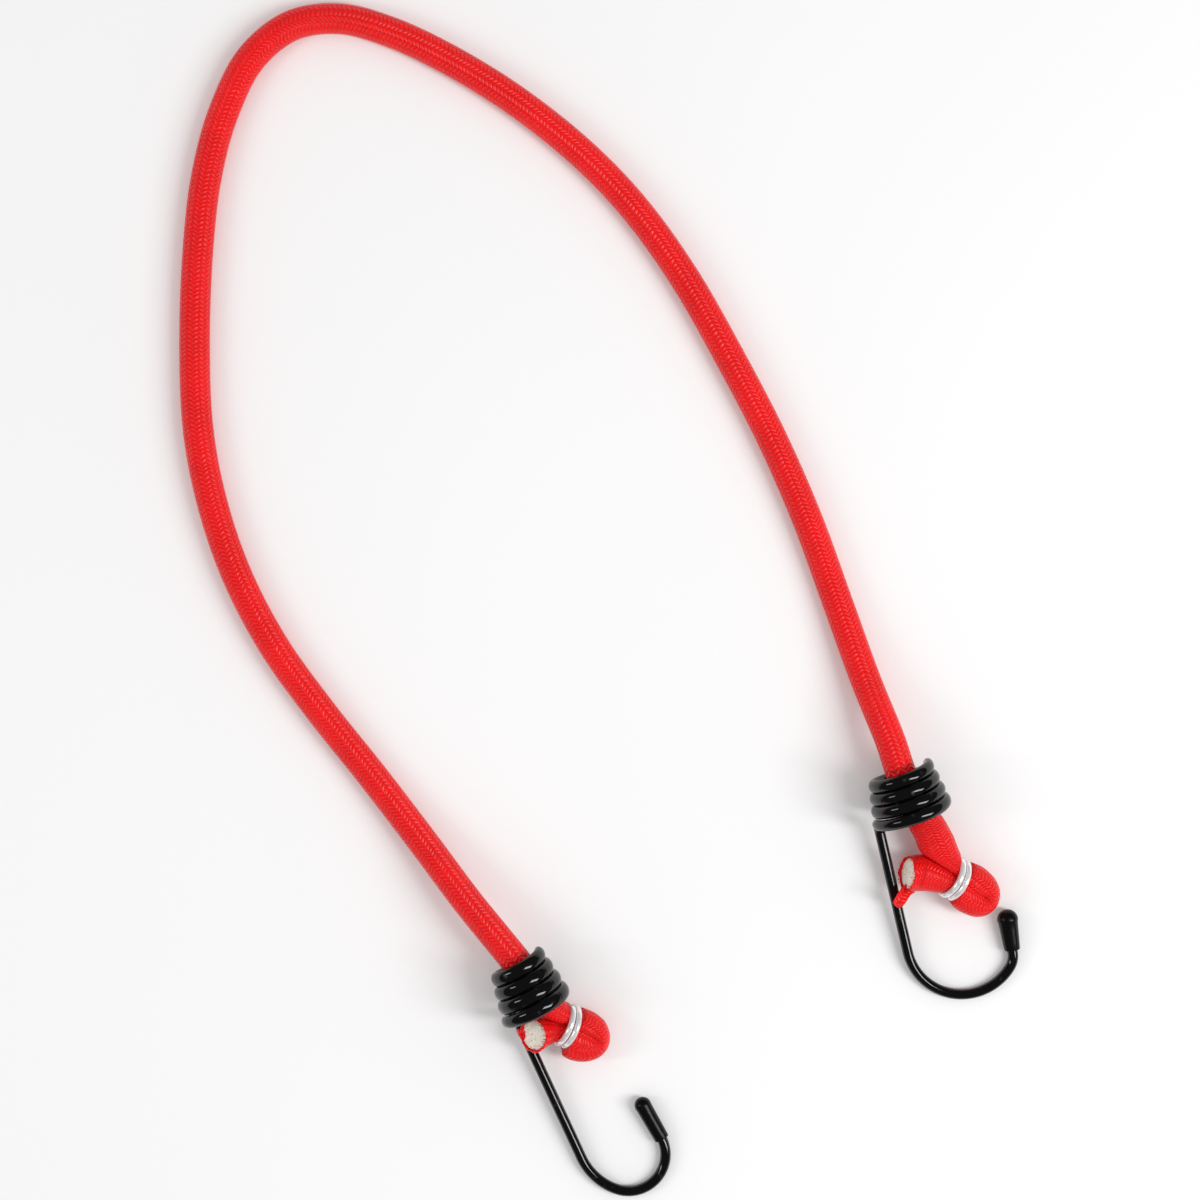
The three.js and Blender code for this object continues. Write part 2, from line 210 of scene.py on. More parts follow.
@dataclass(frozen=True)
class BraidedYarn(Finish):
    """Braided yarn: columns of slanting stitches that meet in chevrons.

    The wrap map's U is one turn round the cord, and its V is millimetres along it. The stitches
    are drawn a little coarser than the yarn, so that they show.
    """

    yarn: str = "#F31216"
    # The crest colour is a painted highlight on the stitches' tops, and the gap colour is painted shade
    # between the stitches.
    crest_highlight: str = "#F92E2A"
    gap_shade: str = "#D40E12"
    sheen: str = "#FF7A70"
    columns: float = 16.0
    column_power: float = 0.4
    stitch: float = 1.3
    slant: float = 0.75
    gap_height: float = 0.42
    crest_height: float = 0.85
    relief: float = 0.3
    wander: float = 2.9
    wander_rows: float = 0.8
    cloud: float = 11.0

    def sockets(self, tree: bpy.types.NodeTree) -> dict[str | int, object]:
        """Draw the stitches, paint highlight on their crests and shade in their gaps, thin that shade in
        patches and cloud the whole.

        Args:
            tree: The material's node tree.

        Returns:
            A value, a node or an output for each socket of the principled shader.
        """
        wrap = add_node(tree, Kind.UV_MAP, uv_map=UV_NAME)
        place = add_node(tree, Kind.SEPARATE, {0: wrap})
        across = add_node(tree, Kind.MATH, {0: place.outputs[0], 1: self.columns}, operation="MULTIPLY")
        share = add_node(tree, Kind.MATH, {0: across}, operation="FRACT")
        number = add_node(tree, Kind.MATH, {0: across}, operation="FLOOR")
        parity = add_node(tree, Kind.MATH, {0: number, 1: 2.0}, operation="MODULO")
        both_ways = {0: parity, 1: 2 * self.slant, 2: -self.slant}
        lean = add_node(tree, Kind.MATH, both_ways, operation="MULTIPLY_ADD")
        rows = add_node(tree, Kind.MATH, {0: place.outputs[1], 1: 1 / self.stitch}, operation="MULTIPLY")
        drift = add_node(tree, Kind.NOISE, {"Vector": wrap, "Scale": 1 / self.wander, "Detail": 1.0})
        wandering = {0: drift, 1: self.wander_rows, 2: rows}
        uneven = add_node(tree, Kind.MATH, wandering, operation="MULTIPLY_ADD")
        slanted = add_node(tree, Kind.MATH, {0: lean, 1: share, 2: uneven}, operation="MULTIPLY_ADD")
        phase = add_node(tree, Kind.MATH, {0: slanted}, operation="FRACT")
        half_turn = add_node(tree, Kind.MATH, {0: phase, 1: math.pi}, operation="MULTIPLY")
        ridge = add_node(tree, Kind.MATH, {0: half_turn}, operation="SINE")
        far_share = add_node(tree, Kind.MATH, {0: 1.0, 1: share}, operation="SUBTRACT")
        flank = add_node(tree, Kind.MATH, {0: far_share, 1: share}, operation="MULTIPLY")
        # The two shares are each a half in the middle of a column, where it is highest.
        peak = 0.5 * 0.5
        full_flank = add_node(tree, Kind.MATH, {0: flank, 1: 1 / peak}, operation="MULTIPLY")
        column = add_node(tree, Kind.MATH, {0: full_flank, 1: self.column_power}, operation="POWER")
        stitch = add_node(tree, Kind.MATH, {0: ridge, 1: column}, operation="MULTIPLY")
        ground = add_node(tree, Kind.PLACE).outputs["Object"]
        patches = {"Vector": ground, "Scale": 1 / (self.cloud * MM), "Detail": 3.0}
        cloud = add_node(tree, Kind.NOISE, patches)
        # The gaps between the stitches get a darker red, which is painted shade; in patches the cloud fades
        # that shade out.
        shade_fading = {"Value": cloud, "From Min": 0.42, "From Max": 0.6, "To Max": 0.75}
        shade_faded = add_node(tree, Kind.RANGE, shade_fading)
        above_gap_shade = add_node(tree, Kind.RANGE, {"Value": stitch, "From Max": self.gap_height})
        unshaded = add_node(tree, Kind.MATH, {0: above_gap_shade, 1: shade_faded}, operation="MAXIMUM")
        body = {0: unshaded, MIX_A: linear(self.gap_shade), MIX_B: linear(self.yarn)}
        tone = add_node(tree, Kind.MIX, body, data_type="RGBA")
        # The stitches' tops get a lighter red, which is a painted highlight.
        crest_highlight_share = add_node(tree, Kind.RANGE, {"Value": stitch, "From Min": self.crest_height})
        lit = {0: crest_highlight_share, MIX_A: tone.outputs[MIX_RESULT], MIX_B: linear(self.crest_highlight)}
        tone = add_node(tree, Kind.MIX, lit, data_type="RGBA")
        shades = {"Value": cloud, "From Min": 0.3, "From Max": 0.7, "To Min": 0.94, "To Max": 1.04}
        shade = add_node(tree, Kind.RANGE, shades)
        clouded = {0: 1.0, MIX_A: tone.outputs[MIX_RESULT], MIX_B: shade.outputs[0]}
        tone = add_node(tree, Kind.MIX, clouded, data_type="RGBA", blend_type="MULTIPLY")
        bump = add_node(tree, Kind.BUMP, {"Height": stitch, "Distance": self.relief * MM, "Strength": 0.8})
        return {
            "Base Color": tone.outputs[MIX_RESULT],
            "Normal": bump,
            "Roughness": 0.28,
            "IOR": 1.5,
            "Specular IOR Level": 0.28,
            "Sheen Weight": 0.02,
            "Sheen Roughness": 0.4,
            "Sheen Tint": linear(self.sheen),
        }


@dataclass(frozen=True)
class RubberThread(Finish):
    """Cut rubber thread, with flecks of yarn fluff on it."""

    ivory: str = "#FCF7EA"
    shadow: str = "#EFE6D3"
    fleck: str = "#E49A8C"
    mottle: float = 1.1
    fluff: float = 0.67
    relief: float = 0.1

    def sockets(self, tree: bpy.types.NodeTree) -> dict[str | int, object]:
        """Mottle the rubber and scatter the flecks.

        Args:
            tree: The material's node tree.

        Returns:
            A value, a node or an output for each socket of the principled shader.
        """
        ground = add_node(tree, Kind.PLACE).outputs["Object"]
        patches = {"Vector": ground, "Scale": 1 / (self.mottle * MM), "Detail": 4.0}
        mottle = add_node(tree, Kind.NOISE, patches)
        paleness = add_node(tree, Kind.RANGE, {"Value": mottle, "From Min": 0.3, "From Max": 0.55})
        tones = {0: paleness, MIX_A: linear(self.shadow), MIX_B: linear(self.ivory)}
        rubber = add_node(tree, Kind.MIX, tones, data_type="RGBA")
        fluff = add_node(tree, Kind.NOISE, {"Vector": ground, "Scale": 1 / (self.fluff * MM), "Detail": 2.0})
        flecks = {"Value": fluff, "From Min": 0.6, "From Max": 0.7, "To Max": 0.8}
        amount = add_node(tree, Kind.RANGE, flecks)
        dust = {0: amount, MIX_A: rubber.outputs[MIX_RESULT], MIX_B: linear(self.fleck)}
        dusted = add_node(tree, Kind.MIX, dust, data_type="RGBA")
        bump = add_node(tree, Kind.BUMP, {"Height": mottle, "Distance": self.relief * MM, "Strength": 0.5})
        return {
            "Base Color": dusted.outputs[MIX_RESULT],
            "Normal": bump,
            "Roughness": 0.75,
            "IOR": 1.52,
            "Specular IOR Level": 0.3,
        }


@dataclass(frozen=True)
class BlackEnamel(Finish):
    """Gloss enamel on wire, rippled, with a few dull scuffs."""

    black: str = "#060607"
    scuff: str = "#262628"
    grit: float = 2.4
    ripple: float = 3.8
    relief: float = 0.12

    def sockets(self, tree: bpy.types.NodeTree) -> dict[str | int, object]:
        """Scatter the scuffs and ripple the coat.

        Args:
            tree: The material's node tree.

        Returns:
            A value, a node or an output for each socket of the principled shader.
        """
        ground = add_node(tree, Kind.PLACE).outputs["Object"]
        grit = add_node(tree, Kind.NOISE, {"Vector": ground, "Scale": 1 / (self.grit * MM), "Detail": 5.0})
        scuffed = add_node(tree, Kind.RANGE, {"Value": grit, "From Min": 0.62, "From Max": 0.74})
        tones = {0: scuffed, MIX_A: linear(self.black), MIX_B: linear(self.scuff)}
        colour = add_node(tree, Kind.MIX, tones, data_type="RGBA")
        rough = add_node(tree, Kind.RANGE, {"Value": scuffed, "To Min": 0.09, "To Max": 0.4})
        waves = {"Vector": ground, "Scale": 1 / (self.ripple * MM), "Detail": 2.0}
        ripple = add_node(tree, Kind.NOISE, waves)
        bump = add_node(tree, Kind.BUMP, {"Height": ripple, "Distance": self.relief * MM, "Strength": 0.35})
        return {
            "Base Color": colour.outputs[MIX_RESULT],
            "Normal": bump,
            "Roughness": rough,
            "IOR": 1.52,
            "Specular IOR Level": 0.42,
        }


@dataclass(frozen=True)
class DippedVinyl(Finish):
    """Satin vinyl with a slight bloom and a pebbled skin, drawn coarse enough to show."""

    black: str = "#070708"
    bloom: str = "#0D0D0E"
    cloud: float = 2.0
    pebble: float = 0.33
    relief: float = 0.05

    def sockets(self, tree: bpy.types.NodeTree) -> dict[str | int, object]:
        """Cloud the colour and the gloss, and pebble the skin.

        Args:
            tree: The material's node tree.

        Returns:
            A value, a node or an output for each socket of the principled shader.
        """
        ground = add_node(tree, Kind.PLACE).outputs["Object"]
        cloud = add_node(tree, Kind.NOISE, {"Vector": ground, "Scale": 1 / (self.cloud * MM), "Detail": 4.0})
        tones = {0: cloud, MIX_A: linear(self.black), MIX_B: linear(self.bloom)}
        colour = add_node(tree, Kind.MIX, tones, data_type="RGBA")
        rough = add_node(tree, Kind.RANGE, {"Value": cloud, "To Min": 0.2, "To Max": 0.3})
        pebbles = {"Vector": ground, "Scale": 1 / (self.pebble * MM), "Detail": 2.0}
        pebble = add_node(tree, Kind.NOISE, pebbles)
        bump = add_node(tree, Kind.BUMP, {"Height": pebble, "Distance": self.relief * MM, "Strength": 0.5})
        return {
            "Base Color": colour.outputs[MIX_RESULT],
            "Normal": bump,
            "Roughness": rough,
            "IOR": 1.46,
            "Specular IOR Level": 0.22,
        }


@dataclass(frozen=True)
class BrightZinc(Finish):
    """Zinc on drawn wire, with grey spots and with die lines along the wire, counted round it.

    The die lines are drawn coarse enough to show.
    """

    zinc: str = "#FBFBFB"
    spot: str = "#D5D7D9"
    line_count: float = 28.0
    line_length: float = 4.2
    spot_size: float = 1.4
    relief: float = 0.05

    def sockets(self, tree: bpy.types.NodeTree) -> dict[str | int, object]:
        """Draw the die lines on the wrap map and scatter the spots.

        Args:
            tree: The material's node tree.

        Returns:
            A value, a node or an output for each socket of the principled shader.
        """
        wrap = add_node(tree, Kind.UV_MAP, uv_map=UV_NAME)
        drawn_out = (self.line_count, 1 / self.line_length, 1.0)
        along = add_node(tree, Kind.MAPPING, {"Vector": wrap, "Scale": drawn_out})
        lines = add_node(tree, Kind.NOISE, {"Vector": along, "Scale": 1.0, "Detail": 3.0})
        ground = add_node(tree, Kind.PLACE).outputs["Object"]
        patches = {"Vector": ground, "Scale": 1 / (self.spot_size * MM), "Detail": 4.0}
        spots = add_node(tree, Kind.NOISE, patches)
        greyness = {"Value": spots, "From Min": 0.55, "From Max": 0.75, "To Max": 0.8}
        spotted = add_node(tree, Kind.RANGE, greyness)
        tones = {0: spotted, MIX_A: linear(self.zinc), MIX_B: linear(self.spot)}
        colour = add_node(tree, Kind.MIX, tones, data_type="RGBA")
        rough = add_node(tree, Kind.RANGE, {"Value": lines, "To Min": 0.1, "To Max": 0.3})
        bump = add_node(tree, Kind.BUMP, {"Height": lines, "Distance": self.relief * MM, "Strength": 0.6})
        return {
            "Base Color": colour.outputs[MIX_RESULT],
            "Normal": bump,
            "Roughness": rough,
            "Metallic": 0.45,
        }


@dataclass(frozen=True)
class Paper(Finish):
    """Plain paper."""

    white: str = "#F4F4F4"

    def sockets(self, tree: bpy.types.NodeTree) -> dict[str | int, object]:
        """Give the shader's values, which need no nodes."""
        return {"Base Color": linear(self.white), "Roughness": 0.95, "Specular IOR Level": 0.1}


# Polyester yarn, braided two over two: fine slanting ridges with a painted highlight on their crests and
# painted shade in the gaps between them, small glints along the side that faces the light, and a soft sheen.
SHEATH = BraidedYarn("braided_polyester_red", Slot.SHEATH)
# Natural rubber thread, extruded and cut: matt ivory, dusted white, with red fluff on it.
CORE = RubberThread("natural_rubber_thread", Slot.CORE)
# Enamel, dipped on steel wire and baked: deep black with mirror-like lights and dull scuffs.
ENAMEL = BlackEnamel("gloss_black_enamel", Slot.HOOK_WIRE)
# Vinyl, dipped and cured: soft black with a broad, satin light.
VINYL = DippedVinyl("dipped_black_vinyl", Slot.TIP_CAP)
# Zinc, plated on drawn steel wire: a white metal with fine lines. It is partly dull with oxide, so
# its shader is only partly metallic.
ZINC = BrightZinc("bright_zinc_wire", Slot.CLAMP_RING)
# Matt white paper, which takes soft shadows.
PAPER = Paper("white_paper", None)


def put_in_scene(made: bmesh.types.BMesh, name: str, smooth: bool = True) -> bpy.types.Object:
    """Turn a finished bmesh into an object in the scene.

    Args:
        made: The bmesh, which is freed.
        name: The piece's name.
        smooth: Whether its faces are shaded smooth.

    Returns:
        The new object, at the origin.
    """
    for face in made.faces:
        face.smooth = smooth
    mesh = bpy.data.meshes.new(name)
    made.to_mesh(mesh)
    made.free()
    piece = bpy.data.objects.new(name, mesh)
    bpy.context.scene.collection.objects.link(piece)
    return piece


def keep_off_floor(made: bmesh.types.BMesh) -> None:
    """Lift the vertices that would lie on the floor or under it."""
    for vert in made.verts:
        vert.co.z = max(vert.co.z, FLOOR_CLEARANCE * MM)


def add_wall(piece: bpy.types.Object, thickness: float, offset: float) -> None:
    """Give a sheet its thickness.

    Args:
        piece: The sheet.
        thickness: The wall's thickness.
        offset: Where the wall lies: -1 inside the sheet, 0 half on each side.
    """
    wall = piece.modifiers.new("wall", "SOLIDIFY")
    wall.thickness = thickness * MM
    wall.offset = offset


def turn_from_z(direction: Vector) -> Matrix:
    """Give the matrix that turns the Z axis to a direction."""
    return Vector((0, 0, 1)).rotation_difference(direction).to_matrix().to_4x4()


def add_peg(
    made: bmesh.types.BMesh,
    place: Vector,
    turn: Matrix,
    radii: tuple[float, float],
    length: float,
    sides: int,
) -> None:
    """Add a closed, round peg.

    Args:
        made: The bmesh that gets the peg.
        place: The peg's middle.
        turn: The matrix that turns the Z axis to the peg's.
        radii: The radii at the peg's two ends.
        length: The peg's length.
        sides: The number of sides round it.
    """
    bmesh.ops.create_cone(
        made,
        cap_ends=True,
        segments=sides,
        radius1=radii[0] * MM,
        radius2=radii[1] * MM,
        depth=length * MM,
        matrix=Matrix.Translation(place * MM) @ turn,
    )


def moved(points: np.ndarray, placement: Matrix) -> np.ndarray:
    """Move points by a matrix."""
    matrix = np.array(placement)
    return points @ matrix[:3, :3].T + matrix[:3, 3]


def line_lengths(points: np.ndarray) -> np.ndarray:
    """Give each point's distance along the line through all of them."""
    return np.concatenate(([0.0], np.cumsum(np.linalg.norm(np.diff(points, axis=0), axis=1))))


def middles(rows: np.ndarray) -> np.ndarray:
    """Give the middle between each row's outer and inner edge."""
    return (rows[:, OUTER] + rows[:, INNER]) / 2


def ragged(turns: np.ndarray) -> np.ndarray:
    """Give how far a cut edge of braid stands out at each place, in turns round the cord."""
    return sum(size * np.sin(2 * math.pi * (waves * turns + shift)) for waves, size, shift in RAGGED_WAVES)


def spread(rows: np.ndarray, spacing: float) -> np.ndarray:
    """Run a smooth curve through rows of numbers and lay new rows evenly along it.

    Args:
        rows: One row for each chosen point, with at least its outer and inner edge.
        spacing: How far apart the new rows lie along the middle between the edges.

    Returns:
        The new rows, with the same columns.
    """
    steps = np.sqrt(np.linalg.norm(np.diff(middles(rows), axis=0), axis=1))
    knots = np.concatenate(([0.0], np.cumsum(steps)))
    slopes = np.diff(rows, axis=0) / steps[:, None]
    before, after = steps[:-1, None], steps[1:, None]
    turning = (slopes[:-1] * after + slopes[1:] * before) / (before + after)
    tangents = np.vstack((slopes[:1], turning, slopes[-1:]))
    fine = np.linspace(0, knots[-1], DRAWN_PER_ROW * len(rows))
    piece = np.clip(np.searchsorted(knots, fine, side="right") - 1, 0, len(rows) - 2)
    width = steps[piece][:, None]
    s = (fine - knots[piece])[:, None] / width
    # Between two rows runs the cubic that has their numbers and their tangents at its ends.
    drawn = (
        (2 * s**3 - 3 * s**2 + 1) * rows[piece]
        + (s**3 - 2 * s**2 + s) * width * tangents[piece]
        + (3 * s**2 - 2 * s**3) * rows[piece + 1]
        + (s**3 - s**2) * width * tangents[piece + 1]
    )
    along = line_lengths(middles(drawn))
    wanted = np.linspace(0, along[-1], max(LEAST_STEPS, round(along[-1] / spacing)) + 1)
    return np.column_stack([np.interp(wanted, along, column) for column in drawn.T])


def tube_points(rows: np.ndarray, sides: int, fullness: np.ndarray | float = 1.0) -> np.ndarray:
    """Lay an ellipse across each row.

    Args:
        rows: Outer edge, inner edge and half height, one row for each station.
        sides: The number of points round the tube.
        fullness: The power on the height of the inner half. Under 1 it gives squarer corners.

    Returns:
        The points as stations by sides + 1 by 3. The last point of a station is its first.
    """
    middle = middles(rows)
    half = (rows[:, OUTER] - rows[:, INNER]) / 2
    up = np.cross(np.gradient(middle, axis=0), half)
    up *= (rows[:, HALF] / np.linalg.norm(up, axis=1))[:, None]
    angles = np.linspace(0, 2 * math.pi, sides + 1)[None, :, None]
    across, high = np.cos(angles), np.sin(angles)
    power = np.where(across < 0, np.reshape(fullness, (-1, 1, 1)), 1.0)
    high = np.sign(high) * np.abs(high) ** power
    return middle[:, None] + half[:, None] * across + up[:, None] * high


def skin(points: np.ndarray, along: np.ndarray, turns: float = 1.0, fill: bool = False) -> bmesh.types.BMesh:
    """Stretch a grid over points, keep it off the floor, map it and weld its seam.

    Args:
        points: Stations by points by 3, in millimetres.
        along: The wrap map's V of each station, in millimetres.
        turns: The wrap map's U at the far edge of the grid.
        fill: Whether to close the open ends.

    Returns:
        The bmesh, in metres.
    """
    stations, columns = points.shape[0] - 1, points.shape[1] - 1
    made = bmesh.new()
    wrap = made.loops.layers.uv.new(UV_NAME)
    # The grid reaches half a metre each way from the origin until its points are moved.
    bmesh.ops.create_grid(made, x_segments=columns, y_segments=stations, size=0.5, calc_uvs=True)
    for vert in made.verts:
        column = round((vert.co.x + 0.5) * columns)
        station = round((vert.co.y + 0.5) * stations)
        vert.co = points[station, column] * MM
    keep_off_floor(made)
    for face in made.faces:
        for loop in face.loops:
            u, v = loop[wrap].uv
            loop[wrap].uv = (u * turns, along[round(v * stations)])
    bmesh.ops.remove_doubles(made, verts=made.verts, dist=MERGE_M)
    if fill:
        open_edges = [edge for edge in made.edges if edge.is_boundary]
        bmesh.ops.holes_fill(made, edges=open_edges, sides=0)
    bmesh.ops.recalc_face_normals(made, faces=made.faces)
    return made


def add_straight(points: list[Vector], heading: Vector, length: float) -> None:
    """Carry a line straight on.

    Args:
        points: The line so far, which grows.
        heading: Its direction.
        length: How far it goes on.
    """
    start = points[-1]
    steps = max(LEAST_STEPS, round(length / STRAIGHT_STEP))
    points.extend(start + heading * length * step / steps for step in range(1, steps + 1))


def add_bend(points: list[Vector], heading: Vector, final: Vector, radius: float) -> None:
    """Carry a line round an arc.

    Args:
        points: The line so far, which grows.
        heading: Its direction before the bend.
        final: Its direction after the bend.
        radius: The arc's radius.
    """
    start = points[-1]
    sweep = heading.angle(final)
    side = (final - heading * math.cos(sweep)).normalized()
    steps = max(LEAST_BEND_STEPS, round(radius * sweep / BEND_STEP))
    for step in range(1, steps + 1):
        turn = sweep * step / steps
        points.append(start + (heading * math.sin(turn) + side * (1 - math.cos(turn))) * radius)


def wire_rows(
    places: np.ndarray, radius: float, rounding: float, axis: np.ndarray, widths: np.ndarray
) -> np.ndarray:
    """Carry a section along a wire's middle line, and round off the edges of its cut ends.

    Args:
        places: The middle line.
        radius: The wire's radius.
        rounding: The radius of the rounded edges.
        axis: The axis that the first part of the wire is wound round.
        widths: The section's half widths along that axis, for the wound places alone.

    Returns:
        Rows for tube_points.
    """
    forward = np.gradient(places, axis=0)
    forward /= np.linalg.norm(forward, axis=1)[:, None]
    turns = np.radians(np.linspace(90, 0, END_RINGS + 1)[:-1])
    start = [places[0] - forward[0] * rounding * math.sin(a) for a in turns]
    end = [places[-1] + forward[-1] * rounding * math.sin(a) for a in turns[::-1]]
    drawn_in = [radius - rounding * (1 - math.cos(a)) for a in turns]
    line = np.vstack((start, places, end))
    radii = np.concatenate((drawn_in, np.full(len(places), radius), drawn_in[::-1]))
    forward = np.vstack(([forward[0]] * END_RINGS, forward, [forward[-1]] * END_RINGS))
    wound = END_RINGS + len(widths)
    swell = np.ones(len(line))
    swell[:END_RINGS] = widths[0] / radius
    swell[END_RINGS:wound] = widths / radius
    rows = []
    side = axis
    for number, (place, heading, reach) in enumerate(zip(line, forward, radii)):
        if number < wound:
            side = axis
        side = side - heading * np.dot(side, heading)
        side = side / np.linalg.norm(side)
        edge = side * reach * swell[number]
        rows.append([*(place + edge), *(place - edge), reach])
    return np.array(rows)


@dataclass(frozen=True)
class WireHook:
    """A hook of round wire: a coil that widens towards the hook, a shank, a bend and a capped tip.

    Its own X axis is the coil's, from the narrow end to the wide mouth at zero, and Y points
    from the shank to the tip. The coil's turns are drawn so full that they touch.
    """

    letter: str
    body: Body
    mouth: tuple[float, float]
    heading: float
    pitch: float
    narrow_clearance: float
    wide_clearance: float
    turn_gap: float
    exit_angle: float
    splay: float
    shank: float
    first_radius: float
    first_angle: float
    second_radius: float
    bend_angle: float
    bare_tip: float
    cap_head: float
    cap_overlap: float = 0.0
    cap_wall: float = 0.5
    coil_turns: float = 3.5
    coil_overlap: float = 0.12
    coil_steps: int = 72
    easing_steps: int = 24
    exit_bend_radius: float = 3.5
    end_rounding: float = 0.55
    cap_length: float = 12.3
    cap_end_wall: float = 1.4
    cap_clearance: float = 0.3
    cap_seat: float = 2.4
    cap_taper: float = 0.72
    cap_step: float = 0.9
    cap_roll_steps: int = 6
    cap_side_steps: int = 4
    cap_dome_steps: int = 12
    cap_sides: int = 40
    neck_clearance: float = 0.5
    neck_drop_angle: float = 35.0
    sides: int = 24

    @property
    def turns(self) -> float:
        """The coil's turns, up to where the shank leaves it."""
        return self.coil_turns + self.exit_angle / 360

    @property
    def coil_length(self) -> float:
        """The coil's length along its axis, between the wire's middles."""
        return self.turns * (2 * WIRE_RADIUS + self.turn_gap)

    @property
    def coil_points(self) -> int:
        """The number of points along the coil's wire."""
        return round(self.turns * self.coil_steps) + 1

    def placement(self) -> Matrix:
        """Say where the hook lies. Its height is its swivel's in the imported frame.

        Returns:
            The matrix from the hook's own axes to the shared frame, in millimetres.
        """
        swivel = next(j for j in frame["joints"] if j["name"] == f"hook_{self.letter}_swivel")
        place = Matrix.Translation((*self.mouth, swivel["pos_m"][2] / MM))
        turn = Matrix.Rotation(math.radians(self.heading), 4, "Z")
        return place @ turn @ Matrix.Rotation(math.radians(self.pitch), 4, "Y")

    def in_frame(self, points: np.ndarray) -> np.ndarray:
        """Move points from the hook's own axes to the shared frame."""
        return moved(points, self.placement())

    def neck(self, along: float) -> np.ndarray:
        """Find the cord's middle where it passes the coil. It lies low, and off to one side.

        Args:
            along: The place along the coil's axis.

        Returns:
            The point in the hook's own axes.
        """
        drop = math.radians(self.neck_drop_angle)
        share = max(0.0, 1 + min(along, 0.0) / self.coil_length)
        offset = (self.wide_clearance - self.neck_clearance) * share
        return np.array((along, offset * math.cos(drop), -offset * math.sin(drop)))

    def line(self) -> tuple[np.ndarray, np.ndarray]:
        """Work out the wire's middle line.

        Returns:
            The points from the coil's free end to the tip, and the tip's direction.
        """
        angles = np.linspace(0, 2 * math.pi * self.turns, self.coil_points)
        share = angles / angles[-1]
        clearance = self.narrow_clearance + (self.wide_clearance - self.narrow_clearance) * share
        radius = CORD_RADIUS + clearance + WIRE_RADIUS
        along = (share - 1) * self.coil_length
        coil = np.column_stack((along, radius * np.cos(angles), radius * np.sin(angles)))
        points = [Vector(place) for place in coil]
        heading = (points[-1] - points[-2]).normalized()
        tip = self.bare_tip + self.cap_length - self.cap_end_wall - self.cap_clearance
        bends = (
            (self.exit_bend_radius, 0.0, self.shank),
            (self.first_radius, self.first_angle, 0.0),
            (self.second_radius, self.bend_angle, tip),
        )
        for bend_radius, degrees, straight in bends:
            angle = math.radians(degrees - self.splay)
            final = Vector((math.cos(angle), math.sin(angle), 0.0))
            add_bend(points, heading, final, bend_radius)
            if straight:
                add_straight(points, final, straight)
            heading = final
        return np.array(points), np.array(heading)

    def wire(self) -> bpy.types.Object:
        """Make the bare hook.

        Returns:
            The hook, from the coil's cut end to the tip inside the cap.
        """
        places, _ = self.line()
        axis = np.array(self.placement().to_3x3().col[0])
        ease = np.minimum(1.0, np.arange(self.coil_points)[::-1] / self.easing_steps)
        widths = WIRE_RADIUS + (self.turn_gap / 2 + self.coil_overlap) * ease
        rows = wire_rows(self.in_frame(places), WIRE_RADIUS, self.end_rounding, axis, widths)
        made = skin(tube_points(rows, self.sides), line_lengths(middles(rows)), fill=True)
        return put_in_scene(made, f"wire_hook_{self.letter}")

    def cap_profile(self) -> list[tuple[float, float]]:
        """Draw the cap's section, from its seat on the wire round the rolled mouth to the dome.

        Returns:
            Each point's radius and its place along the cap.
        """
        bore = WIRE_RADIUS + self.cap_clearance / 2
        mouth = WIRE_RADIUS + self.cap_clearance + self.cap_wall
        head = self.cap_head / 2
        roll = (mouth - bore) / 2
        lip = roll - self.cap_overlap
        waist = mouth + (head - mouth) * self.cap_taper
        shoulder = self.cap_length - head
        step = shoulder - self.cap_step
        profile = [(0.0, lip + self.cap_seat), (bore, lip + self.cap_seat)]
        for angle in np.radians(np.linspace(0, 180, self.cap_roll_steps + 1)):
            profile.append((bore + roll * (1 - math.cos(angle)), lip - roll * math.sin(angle)))
        for share in np.linspace(0, 1, self.cap_side_steps + 1)[1:]:
            profile.append((mouth + (waist - mouth) * share, lip + (step - lip) * share))
        profile.append(((waist + head) / 2, (step + shoulder) / 2))
        for angle in np.radians(np.linspace(0, 90, self.cap_dome_steps + 1)[:-1]):
            profile.append((head * math.cos(angle), shoulder + head * math.sin(angle)))
        return [*profile, (0.0, self.cap_length)]

    def cap(self) -> bpy.types.Object:
        """Make the vinyl cap: a sleeve with a rolled mouth and a fuller, domed head.

        Returns:
            The cap, on the hook's tip.
        """
        made = bmesh.new()
        verts = [made.verts.new((radius * MM, 0.0, along * MM)) for radius, along in self.cap_profile()]
        edges = [made.edges.new(pair) for pair in zip(verts, verts[1:])]
        bmesh.ops.spin(
            made,
            geom=verts + edges,
            cent=(0, 0, 0),
            axis=(0, 0, 1),
            angle=2 * math.pi,
            steps=self.cap_sides,
            use_merge=True,
        )
        bmesh.ops.remove_doubles(made, verts=made.verts, dist=MERGE_M)
        bmesh.ops.recalc_face_normals(made, faces=made.faces)
        places, heading = self.line()
        reach = self.cap_end_wall + self.cap_clearance - self.cap_length
        base = self.in_frame(places[-1] + heading * reach)
        turn = turn_from_z(self.placement().to_3x3() @ Vector(heading))
        bmesh.ops.transform(made, matrix=Matrix.Translation(base * MM) @ turn, verts=made.verts)
        keep_off_floor(made)
        return put_in_scene(made, f"vinyl_cap_{self.letter}")

    def build(self) -> list[bpy.types.Object]:
        """Make and dress the hook and its cap.

        Returns:
            The two pieces.
        """
        wire, cap = self.wire(), self.cap()
        ENAMEL.dress(wire)
        VINYL.dress(cap)
        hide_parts(f"hook_{self.letter}")
        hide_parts(f"tip_cap_{self.letter}")
        for piece in (wire, cap):
            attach(piece, self.body.value)
        return [wire, cap]


@dataclass(frozen=True)
class CutFace:
    """The oval where a cord is cut off: its middle, half width, half height and unit normal."""

    middle: Vector
    width: Vector
    height: Vector
    normal: Vector


